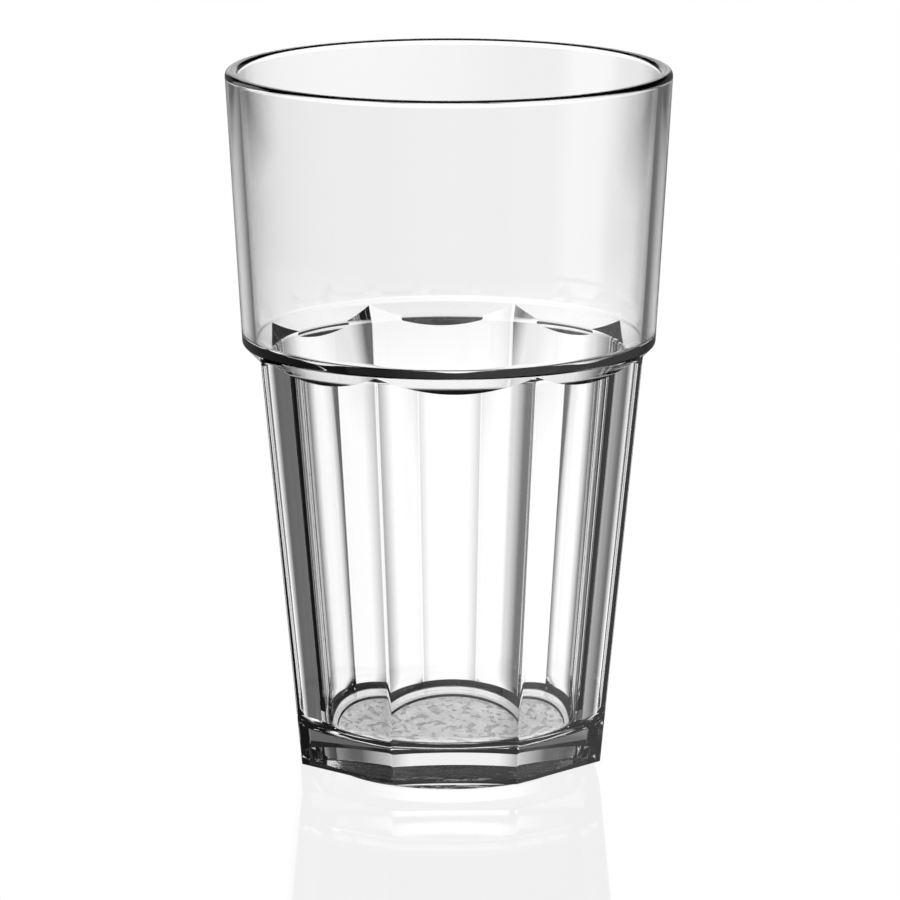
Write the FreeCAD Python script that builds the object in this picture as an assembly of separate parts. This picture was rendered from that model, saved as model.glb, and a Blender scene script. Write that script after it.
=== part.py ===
import FreeCAD, Part
import math
import os

# A clear stacking tumbler, injection moulded in one piece.
# It stands on XY, with its origin at the centre of its foot and +Z up through its mouth.
# Lengths are in millimetres and angles in degrees.

# Round collar, from the lip down to the shoulder
height = 127.0
rim_diameter = 80.0
collar_height = 49.2
collar_draft = 3.35
collar_wall = 2.4
lip_round = 1.1

# Shoulder under the collar, and the ledge inside it where a stacked cup comes to rest
shoulder_slope = 45.0
shoulder_round = 0.7
shoulder_wall = 2.7
ledge_round = 1.2

# Flat-sided body
side_count = 8
base_across_flats = 53.4
side_draft = 5.41
side_wall = 2.1
ridge_round = 0.8

# Thick floor, and the round foot that lifts the flat sides off the table
floor_thickness = 8.3
floor_round = 3.0
foot_diameter = 42.5
foot_rise = 2.3
foot_flare = 0.3

# Spare length of the tools that cut past a face
overrun = 5.0


# A corner whose two sides stand closer than twice this angle gets two arcs
wide_turn = math.radians(60.0)


def tangent(angle):
    return math.tan(math.radians(angle))


def radius_at(line, z):
    """The radius of a cone at a height. A cone is (radius at the foot, growth per unit of height)."""
    return line[0] + line[1] * z


def meeting(first, second):
    """The radius and height where two cones meet."""
    z = (second[0] - first[0]) / (first[1] - second[1])
    return radius_at(first, z), z


def moved_in(line, distance):
    """A cone moved towards the axis by a distance measured square to its surface."""
    return line[0] - distance * math.hypot(1, line[1]), line[1]


def towards(start, end):
    return (end - start).normalize()


def arc(centre, start, end):
    """The short arc round a centre from one point to another."""
    halfway = (towards(centre, start) + towards(centre, end)).normalize()
    return Part.Arc(start, centre + halfway * start.distanceToPoint(centre), end).toShape()


def profile_face(corners):
    """A closed outline beside the axis. Each corner is (radius, height, rounding).

    A corner that turns by much is rounded with two equal arcs, and a slighter one with a single arc.
    """
    points = [FreeCAD.Vector(radius, 0, z) for radius, z, rounding in corners]
    edges = []
    ends = []
    for i, (radius, z, rounding) in enumerate(corners):
        here = points[i]
        back = towards(here, points[i - 1])
        ahead = towards(here, points[(i + 1) % len(points)])
        half_angle = back.getAngle(ahead) / 2
        setback = rounding / math.tan(half_angle)
        start = here + back * setback
        end = here + ahead * setback
        if rounding:
            bisector = (back + ahead).normalize()
            centre = here + bisector * (rounding / math.sin(half_angle))
            middle = centre - bisector * rounding
            stops = [start, middle, end] if half_angle < wide_turn else [start, end]
            edges.extend(arc(centre, first, second) for first, second in zip(stops, stops[1:]))
        ends.append((start, end))
    for i, (start, end) in enumerate(ends):
        next_start = ends[(i + 1) % len(ends)][0]
        edges.append(Part.makeLine(end, next_start))
    return Part.Face(Part.Wire(Part.sortEdges(edges)[0]))


def turned(corners):
    axis = FreeCAD.Vector(0, 0, 1)
    return profile_face(corners).revolve(FreeCAD.Vector(), axis, 360)


# The cones that the cup is drawn with
collar_growth = tangent(collar_draft)
collar_outside = (rim_diameter / 2 - height * collar_growth, collar_growth)
collar_inside = (collar_outside[0] - collar_wall, collar_growth)

shoulder_corner = height - collar_height
collar_foot_radius = radius_at(collar_outside, shoulder_corner)
shoulder_growth = 1 / tangent(shoulder_slope)
shoulder = (collar_foot_radius - shoulder_corner * shoulder_growth, shoulder_growth)
ledge = moved_in(shoulder, shoulder_wall)

flats = (base_across_flats / 2, tangent(side_draft))
bore = (flats[0] - side_wall, flats[1])


def collar():
    """The collar and shoulder as a solid turned shape that narrows to a point on the axis."""
    tip = -shoulder[0] / shoulder[1]
    return turned([
        (0, tip, 0),
        (collar_foot_radius, shoulder_corner, shoulder_round),
        (rim_diameter / 2, height, lip_round),
        (0, height, 0),
    ])


def corners_at(z):
    """The corners of the flat sides at a height. One side faces -Y."""
    step = 2 * math.pi / side_count
    corner_radius = radius_at(flats, z) / math.cos(step / 2)
    corners = []
    for i in range(side_count + 1):
        angle = -math.pi / 2 + (i - 0.5) * step
        corners.append(FreeCAD.Vector(corner_radius * math.cos(angle), corner_radius * math.sin(angle), z))
    return corners


def polygon_face(corners):
    return Part.Face(Part.makePolygon(corners + corners[:1]))


def tapered_prism():
    """The flat sides with rounded ridges between them, from the heel to the corner of the shoulder."""
    low = corners_at(foot_rise)
    high = corners_at(shoulder_corner)
    faces = [polygon_face(low[:0:-1]), polygon_face(high[1:])]
    for i in range(side_count):
        faces.append(polygon_face([low[i], low[i + 1], high[i + 1], high[i]]))
    prism = Part.Solid(Part.Shell(faces))
    ridges = [edge for edge in prism.Edges if edge.BoundBox.ZLength > foot_rise]
    return prism.makeFillet(ridge_round, ridges)


def foot():
    """The round foot, a low step under the flat sides that widens a little as it rises."""
    foot_radius = foot_diameter / 2
    return turned([
        (0, 0, 0),
        (foot_radius, 0, 0),
        (foot_radius + foot_flare, foot_rise, 0),
        (0, foot_rise, 0),
    ])


def body():
    """The flat-sided body. Its flats run up into the shoulder, which ends each one in a scallop."""
    return tapered_prism().fuse(foot())


def inside():
    """The space for the drink, a turned shape that flares over the lip."""
    floor_radius = radius_at(bore, floor_thickness)
    ledge_foot_radius, ledge_foot = meeting(bore, ledge)
    ledge_top_radius, ledge_top = meeting(ledge, collar_inside)
    mouth_radius = radius_at(collar_inside, height)
    return turned([
        (0, floor_thickness, 0),
        (floor_radius, floor_thickness, floor_round),
        (ledge_foot_radius, ledge_foot, ledge_round),
        (ledge_top_radius, ledge_top, ledge_round),
        (mouth_radius, height, lip_round),
        (mouth_radius + overrun, height, 0),
        (mouth_radius + overrun, height + overrun, 0),
        (0, height + overrun, 0),
    ])


def tumbler():
    return collar().fuse(body()).cut(inside())


os.makedirs("parts", exist_ok=True)
cup = tumbler().Solids[0]
cup.exportStep("parts/tumbler.step")
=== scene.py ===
import bmesh
import bpy
import math
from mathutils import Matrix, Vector


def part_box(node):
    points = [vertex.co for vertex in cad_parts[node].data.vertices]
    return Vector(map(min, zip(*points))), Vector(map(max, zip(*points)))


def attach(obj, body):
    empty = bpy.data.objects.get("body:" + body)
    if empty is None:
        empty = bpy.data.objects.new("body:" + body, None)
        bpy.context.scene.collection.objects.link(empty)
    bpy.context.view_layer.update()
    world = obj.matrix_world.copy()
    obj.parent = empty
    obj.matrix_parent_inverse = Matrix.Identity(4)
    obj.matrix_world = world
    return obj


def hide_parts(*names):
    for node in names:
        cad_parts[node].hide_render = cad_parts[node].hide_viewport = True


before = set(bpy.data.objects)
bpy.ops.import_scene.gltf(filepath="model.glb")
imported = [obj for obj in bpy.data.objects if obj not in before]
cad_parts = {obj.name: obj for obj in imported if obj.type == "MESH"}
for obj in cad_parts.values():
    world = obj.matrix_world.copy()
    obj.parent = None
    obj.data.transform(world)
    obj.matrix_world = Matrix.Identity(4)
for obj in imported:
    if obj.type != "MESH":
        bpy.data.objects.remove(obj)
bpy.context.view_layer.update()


# The tumbler: one injection moulding in clear polycarbonate, polished by its mould.
# A round collar stands on a stacking shoulder, over a body with eight flat sides and a thick floor.
# Its half section is turned round the axis, and the flats pull the section in until the shoulder ends them.
MM = 0.001
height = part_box("tumbler")[1].z
rim_radius = 40.0 * MM
collar_height = 49.2 * MM
collar_draft = math.radians(3.35)
collar_wall = 2.4 * MM
lip_round = 1.1 * MM

shoulder_slope = math.radians(45.0)
shoulder_round = 0.7 * MM
shoulder_wall = 2.7 * MM
ledge_round = 1.2 * MM

side_count = 8
base_across_flats = 53.4 * MM
side_draft = math.radians(5.41)
side_wall = 2.1 * MM
ridge_round = 0.8 * MM

floor_thickness = 8.3 * MM
floor_round = 3.0 * MM
foot_diameter = 42.5 * MM
foot_rise = 2.3 * MM
foot_flare = 0.3 * MM

collar_growth = math.tan(collar_draft)
shoulder_growth = 1 / math.tan(shoulder_slope)
side_growth = math.tan(side_draft)
shoulder_height = height - collar_height
shoulder_radius = rim_radius - collar_height * collar_growth
shoulder_at_zero = shoulder_radius - shoulder_height * shoulder_growth
apothem_at_zero = base_across_flats / 2
foot_radius = foot_diameter / 2


def crossing(first, second):
    """Where two sloping walls meet, each given as its radius at height zero and its growth with height."""
    z = (second[0] - first[0]) / (first[1] - second[1])
    return first[0] + first[1] * z, z


bore = (apothem_at_zero - side_wall, side_growth)
ledge = (shoulder_at_zero - shoulder_wall * math.hypot(1, shoulder_growth), shoulder_growth)
collar_inside = (rim_radius - height * collar_growth - collar_wall, collar_growth)
ledge_foot = crossing(bore, ledge)
ledge_top = crossing(ledge, collar_inside)
mouth_radius = collar_inside[0] + height * collar_growth

arc_steps = 10
edge_strip = 0.12 * MM


def half_section(corners):
    """Points along corners of (radius, height, rounding), with a narrow strip beside each rounding."""
    points = []
    for i, (radius, z, rounding) in enumerate(corners):
        here = Vector((radius, z))
        if not rounding:
            points.append(here)
            continue
        back = (Vector(corners[i - 1][:2]) - here).normalized()
        ahead = (Vector(corners[i + 1][:2]) - here).normalized()
        half_angle = back.angle(ahead) / 2
        setback = rounding / math.tan(half_angle)
        middle = (back + ahead).normalized()
        centre = here + middle * (rounding / math.sin(half_angle))
        start = (here + back * setback - centre).normalized()
        end = (here + ahead * setback - centre).normalized()
        points.append(here + back * (setback + edge_strip))
        for step in range(arc_steps + 1):
            points.append(centre + start.slerp(end, step / arc_steps) * rounding)
        points.append(here + ahead * (setback + edge_strip))
    return points


# The first corner lies on the shoulder's cone. It only gives the next one its direction, so it is dropped.
cone_height = shoulder_height - 2.0 * MM
cone_radius = shoulder_at_zero + shoulder_growth * cone_height
outside_and_lip = half_section([
    (cone_radius, cone_height, 0),
    (shoulder_radius, shoulder_height, shoulder_round),
    (rim_radius, height, lip_round),
    (mouth_radius, height, lip_round),
    (*ledge_top, ledge_round),
    (*ledge_foot, ledge_round),
    (bore[0] + bore[1] * floor_thickness, floor_thickness, floor_round),
    (0, floor_thickness, 0),
])[1:]
foot_points = [Vector((0, 0)), Vector((foot_radius, 0)), Vector((foot_radius + foot_flare, foot_rise))]

# The rows on a flat, as shares of the way from its heel up to its scallop. The other rows are only turned.
flat_shares = [0, 0.002, 0.25, 0.5, 0.75, 0.998, 1]
only_turned = -1.0
flat_points = [Vector((apothem_at_zero, foot_rise))] * len(flat_shares)
section_points = foot_points + flat_points + outside_and_lip
shares = [only_turned] * len(foot_points) + flat_shares + [only_turned] * len(outside_and_lip)

section = bpy.data.meshes.new("half_section")
section.from_pydata(
    [(point.x, 0, point.y) for point in section_points],
    [(i, i + 1) for i in range(len(section_points) - 1)],
    [],
)
section.attributes.new("up_the_flat", "FLOAT", "POINT").data.foreach_set("value", shares)
tumbler = bpy.data.objects.new("tumbler_moulding", section)
bpy.context.scene.collection.objects.link(tumbler)


class Wire:
    """A socket of a node tree. Arithmetic on it adds Math nodes, and node() adds any other kind."""

    def __init__(self, tree, socket=None):
        self.tree = tree
        self.socket = socket

    def node(self, kind, settings=None, **inputs):
        """Adds a node and returns its first output. An input called i0, i1 or i2 is named by its place."""
        made = self.tree.nodes.new(kind)
        for name, value in (settings or {}).items():
            setattr(made, name, value)
        for name, value in inputs.items():
            key = int(name[1:]) if name[1:].isdigit() else name.replace("_", " ")
            if isinstance(value, Wire):
                self.tree.links.new(value.socket, made.inputs[key])
            else:
                made.inputs[key].default_value = value
        return Wire(self.tree, made.outputs[0]) if len(made.outputs) else None

    def output(self, name):
        return Wire(self.tree, self.socket.node.outputs[name])

    def math(self, operation, *values):
        numbered = {f"i{i}": value for i, value in enumerate(values)}
        return self.node("ShaderNodeMath", {"operation": operation}, **numbered)

    def __add__(self, other):
        return self.math("ADD", self, other)

    def __radd__(self, other):
        return self.math("ADD", other, self)

    def __sub__(self, other):
        return self.math("SUBTRACT", self, other)

    def __rsub__(self, other):
        return self.math("SUBTRACT", other, self)

    def __mul__(self, other):
        return self.math("MULTIPLY", self, other)

    def __rmul__(self, other):
        return self.math("MULTIPLY", other, self)

    def __truediv__(self, other):
        return self.math("DIVIDE", self, other)

    def __rtruediv__(self, other):
        return self.math("DIVIDE", other, self)

    def clamped(self):
        return self.math("MINIMUM", self.math("MAXIMUM", self, 0), 1)


refraction = 1.585
ripple_depth = 0.2 * MM
etching_depth = 0.05 * MM
etching_roughness = 0.4
etching_reach = 0.2 * MM
patch_edge = 0.48
patch_fade = 0.1


def clear_plastic():
    """Clear polycarbonate with a faint ripple from the mould, and an underside that is etched in patches."""
    material = bpy.data.materials.new("clear_polycarbonate")
    material.use_nodes = True
    tree = material.node_tree
    tree.nodes.clear()
    wire = Wire(tree)
    place = wire.node("ShaderNodeTexCoord").output("Object")
    z = wire.node("ShaderNodeSeparateXYZ", Vector=place).output("Z")
    flow = wire.node("ShaderNodeTexNoise", Vector=place, Scale=60.0, Detail=2.0)
    clouds = wire.node("ShaderNodeTexNoise", Vector=place, Scale=260.0, Detail=5.0, Roughness=0.65)
    grain = wire.node("ShaderNodeTexNoise", Vector=place, Scale=2400.0, Detail=3.0)

    underside = (1 - z / etching_reach).clamped()
    patches = ((clouds - patch_edge) / patch_fade).clamped()
    etched = underside * patches
    pits = (grain + clouds) * underside

    ripple = wire.node("ShaderNodeBump", Strength=0.02, Distance=ripple_depth, Height=flow)
    stipple = wire.node("ShaderNodeBump", Strength=0.28, Distance=etching_depth, Height=pits, Normal=ripple)
    surface = wire.node(
        "ShaderNodeBsdfPrincipled",
        Roughness=etched * etching_roughness,
        IOR=refraction,
        Transmission_Weight=1.0,
        Base_Color=(1, 1, 1, 1),
        Normal=stipple,
    )
    wire.node("ShaderNodeOutputMaterial", Surface=surface)
    return material


def turning_tree(material):
    """Turns the half section and pulls it in to the flat sides. Every size is an input of the tree."""
    tree = bpy.data.node_groups.new("turned_with_flats", "GeometryNodeTree")
    tree.interface.new_socket("Geometry", in_out="INPUT", socket_type="NodeSocketGeometry")
    sizes = {
        "Sides": side_count,
        "Steps on a flat": 28,
        "Steps on a ridge": 4,
        "Heel height": foot_rise,
        "Apothem at zero": apothem_at_zero,
        "Side growth": side_growth,
        "Ridge round": ridge_round,
        "Shoulder at zero": shoulder_at_zero,
        "Shoulder growth": shoulder_growth,
        "Shoulder height": shoulder_height,
        "Merge distance": 0.001 * MM,
    }
    for name, value in sizes.items():
        kind = "NodeSocketInt" if isinstance(value, int) else "NodeSocketFloat"
        tree.interface.new_socket(name, in_out="INPUT", socket_type=kind).default_value = value
    tree.interface.new_socket("Geometry", in_out="OUTPUT", socket_type="NodeSocketGeometry")
    wire = Wire(tree)
    given = wire.node("NodeGroupInput")
    size = {name: given.output(name) for name in sizes}

    # A grid has a row for each point of the section and a column for each step of the turn.
    counts = wire.node("GeometryNodeAttributeDomainSize", {"component": "MESH"}, Geometry=given)
    rows = counts.output("Point Count")
    steps_per_side = size["Steps on a flat"] + size["Steps on a ridge"]
    columns = size["Sides"] * steps_per_side + 1
    sheet = wire.node("GeometryNodeMeshGrid", Vertices_X=columns, Vertices_Y=rows)

    # Half a step is added before each division, so that no whole number is missed by a rounding error.
    half_step = 0.5
    index = wire.node("GeometryNodeInputIndex")
    column = wire.math("FLOOR", (index + half_step) / rows)
    row = index - column * rows
    side = wire.math("FLOOR", (column + half_step) / steps_per_side)
    step = column - side * steps_per_side

    half_turn = math.pi / size["Sides"]
    flat_step = (step / size["Steps on a flat"]).clamped()
    across = wire.math("SINE", (flat_step - 0.5) * math.pi)
    ridge_turn = ((step - size["Steps on a flat"]) / size["Steps on a ridge"]).clamped() * 2 * half_turn
    slant = wire.math("TANGENT", half_turn)

    def on_the_sides(z):
        """How far out a column is on the sides at a height, and how far round from the flat's middle."""
        inner = size["Apothem at zero"] + size["Side growth"] * z - size["Ridge round"]
        sideways = across * inner * slant + size["Ridge round"] * wire.math("SINE", ridge_turn)
        outwards = inner + size["Ridge round"] * wire.math("COSINE", ridge_turn)
        reach = wire.math("SQRT", sideways * sideways + outwards * outwards)
        return reach, wire.math("ARCTAN2", sideways, outwards)

    # Each flat ends in a scallop, at the height where the column's point on it meets the shoulder's cone.
    near_reach, round_angle = on_the_sides(size["Shoulder height"])
    near_apothem = size["Apothem at zero"] + size["Side growth"] * size["Shoulder height"]
    stretch = near_reach / near_apothem
    gap_at_zero = size["Apothem at zero"] * stretch - size["Shoulder at zero"]
    scallop = gap_at_zero / (size["Shoulder growth"] - size["Side growth"] * stretch)

    position = wire.node("GeometryNodeInputPosition")
    as_vector = {"data_type": "FLOAT_VECTOR"}
    profile = wire.node("GeometryNodeSampleIndex", as_vector, Geometry=given, Value=position, Index=row)
    as_number = {"data_type": "FLOAT"}
    named = wire.node("GeometryNodeInputNamedAttribute", as_number, Name="up_the_flat")
    share = wire.node("GeometryNodeSampleIndex", as_number, Geometry=given, Value=named, Index=row)
    turned = wire.node("ShaderNodeSeparateXYZ", Vector=profile)
    flat = wire.math("GREATER_THAN", share, only_turned / 2)
    flat_height = size["Heel height"] + share * (scallop - size["Heel height"])
    flat_reach, flat_angle = on_the_sides(flat_height)

    z = turned.output("Z") * (1 - flat) + flat_height * flat
    reach = turned.output("X") * (1 - flat) + flat_reach * flat
    angle = round_angle * (1 - flat) + flat_angle * flat + side * 2 * half_turn - math.pi / 2
    x = reach * wire.math("COSINE", angle)
    y = reach * wire.math("SINE", angle)
    place = wire.node("ShaderNodeCombineXYZ", X=x, Y=y, Z=z)
    shaped = wire.node("GeometryNodeSetPosition", Geometry=sheet, Position=place)
    closed = wire.node("GeometryNodeMergeByDistance", Geometry=shaped, Distance=size["Merge distance"])
    whole = wire.node("GeometryNodeRealizeInstances", Geometry=closed)
    finished = wire.node("GeometryNodeSetMaterial", Geometry=whole, Material=material)
    wire.node("NodeGroupOutput", Geometry=finished)
    return tree


polycarbonate = clear_plastic()
turning = tumbler.modifiers.new("turning", "NODES")
turning.node_group = turning_tree(polycarbonate)
evaluated = tumbler.evaluated_get(bpy.context.evaluated_depsgraph_get())
moulding = bpy.data.meshes.new_from_object(evaluated)
tumbler.modifiers.clear()
tumbler.data = moulding
moulding.materials.clear()
moulding.materials.append(polycarbonate)

outward = bmesh.new()
outward.from_mesh(moulding)
bmesh.ops.recalc_face_normals(outward, faces=outward.faces)
outward.to_mesh(moulding)
outward.free()
sharp_from = math.radians(15)
moulding.shade_smooth()
moulding.set_sharp_from_angle(angle=sharp_from)

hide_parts("tumbler")
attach(tumbler, "root")


# The floor: a plain white studio table, which isn't part of the object.
# It is one flat sheet of an even white with a faint polish, so that the tumbler shows in it.
# Only the camera sees it: the plastic doesn't reflect it or show it from inside.
floor_half = 3.0
floor_gap = 0.05 * MM
polish_share = 0.13
polish_roughness = 0.05
floor_mesh = bpy.data.meshes.new("studio_floor")
floor_mesh.from_pydata(
    [(x * floor_half, y * floor_half, -floor_gap) for x, y in ((-1, -1), (1, -1), (1, 1), (-1, 1))],
    [],
    [(0, 1, 2, 3)],
)
floor_sheet = bpy.data.objects.new("studio_floor", floor_mesh)
bpy.context.scene.collection.objects.link(floor_sheet)
floor_sheet.visible_transmission = False
floor_sheet.visible_glossy = False
floor_material = bpy.data.materials.new("white_table")
floor_material.use_nodes = True
floor_material.node_tree.nodes.clear()
table = Wire(floor_material.node_tree)
glow = table.node("ShaderNodeEmission", Color=(1, 1, 1, 1), Strength=1.0)
sheen = table.node("ShaderNodeBsdfGlossy", Color=(1, 1, 1, 1), Roughness=polish_roughness)
table_top = table.node("ShaderNodeMixShader", i0=polish_share, i1=glow, i2=sheen)
table.node("ShaderNodeOutputMaterial", Surface=table_top)
floor_mesh.materials.append(floor_material)


# The studio round the tumbler: a low white screen behind it for each side that it is looked at from,
# a soft light beside the camera, dark grey walls and a darker ceiling, all drawn by direction on the world.
# The plastic shows them. The camera sees plain white instead, and the floor mirrors white backdrops.
ceiling_level = 0.01
wall_level = 0.12
lamp_level = 0.8
lamp_to_the_right = 0.77
lamp_to_the_front = 0.64
screen_level = 1.17
right_screen_share = 0.85
dimmer_share = 0.2
dimmer_above = -11.2
collar_shift = 2
collar_narrowing = 1.1
backdrop_bearings = (0, -45, -90, 135)
backdrop_half_width = 11
world = bpy.data.worlds.new("studio")
bpy.context.scene.world = world
world.use_nodes = True
world.node_tree.nodes.clear()
air = Wire(world.node_tree)
direction = air.node("ShaderNodeSeparateXYZ", Vector=air.node("ShaderNodeTexCoord").output("Generated"))

# Directions in degrees: the bearing is nought straight behind the tumbler and grows to the right,
# and the rise is the angle above the horizon.
degrees_per_radian = math.degrees(1)
bearing = air.math("ARCTAN2", direction.output("X"), direction.output("Y")) * degrees_per_radian
rise = air.math("ARCSINE", direction.output("Z")) * degrees_per_radian


def within(value, low, high, fade):
    """One between two angles, falling to nought over the fade beyond each."""
    away = air.math("ABSOLUTE", value - (low + high) / 2)
    return (1 - (away - (high - low) / 2) / fade).clamped()


def screen(bearings, bearing_fade, rises, rise_fade, across=bearing):
    """A screen between two bearings and two rises, with a soft fade round it."""
    return within(across, *bearings, bearing_fade) * within(rise, *rises, rise_fade)


# A ray that a surface reflects, without the rays that pass through the plastic
path = air.node("ShaderNodeLightPath")
reflected = path.output("Is Glossy Ray") * (1 - path.output("Is Transmission Ray"))

# The screen straight behind is narrower at the height where the collar's upper part is seen against it,
# which turns the collar's edges grey. From the foot of the collar up, every screen is also dimmer.
at_collar = within(rise, -9.3, -7.5, fade=0.8)
narrowed = (bearing - at_collar * collar_shift) * (1 + at_collar * collar_narrowing)
behind = screen(bearings=(-14, 14), bearing_fade=20, rises=(-39, 1), rise_fade=2, across=narrowed)
left = screen(bearings=(-56, -34), bearing_fade=8, rises=(-33, -21), rise_fade=2)
far_left = screen(bearings=(-102, -78), bearing_fade=12, rises=(-7, 1), rise_fade=2.5)
right = screen(bearings=(121, 149), bearing_fade=12, rises=(-20, -10), rise_fade=4) * right_screen_share
screens = (behind + left + far_left + right).clamped() * (1 - reflected) * screen_level
screens = screens * (1 - (rise - dimmer_above).clamped() * dimmer_share)

facing = (direction.output("X") * lamp_to_the_right - direction.output("Y") * lamp_to_the_front).clamped()
lamp = facing * within(rise, -30, 3, fade=7) * lamp_level
lights = air.math("MAXIMUM", screens, lamp)
walls = wall_level * within(rise, -24, 9, fade=5) + ceiling_level
studio = walls + lights * (1 - walls)

backdrops = sum(
    within(bearing, middle - backdrop_half_width, middle + backdrop_half_width, fade=4)
    for middle in backdrop_bearings
)
mirrored = reflected * within(rise, 1, 31, fade=1) * backdrops
white = air.math("MAXIMUM", path.output("Is Camera Ray"), mirrored)
sky = air.node("ShaderNodeBackground", Color=(1, 1, 1, 1), Strength=white + (1 - white) * studio)
air.node("ShaderNodeOutputWorld", Surface=sky)


# The camera: a long lens at the photograph's angle, a little above the cup and slightly to its left.
# Its place was fitted to the rim, the shoulder and the corners of the base.
camera_distance = 1.10769
camera_target = Vector((0, 0, 0.0575746))
camera_rise = math.radians(11.7928)
camera_turn = math.radians(-2.2166)
camera_data = bpy.data.cameras.new("camera")
camera_data.sensor_width = 36.0
camera_data.lens = 245.574
camera_data.shift_x = 0.001234
camera = bpy.data.objects.new("camera", camera_data)
bpy.context.scene.collection.objects.link(camera)
towards_camera = Vector((
    math.sin(camera_turn) * math.cos(camera_rise),
    -math.cos(camera_turn) * math.cos(camera_rise),
    math.sin(camera_rise),
))
camera.location = camera_target + towards_camera * camera_distance
camera.rotation_euler = (-towards_camera).to_track_quat("-Z", "Y").to_euler()
bpy.context.scene.camera = camera
bpy.context.scene.view_settings.view_transform = "Standard"
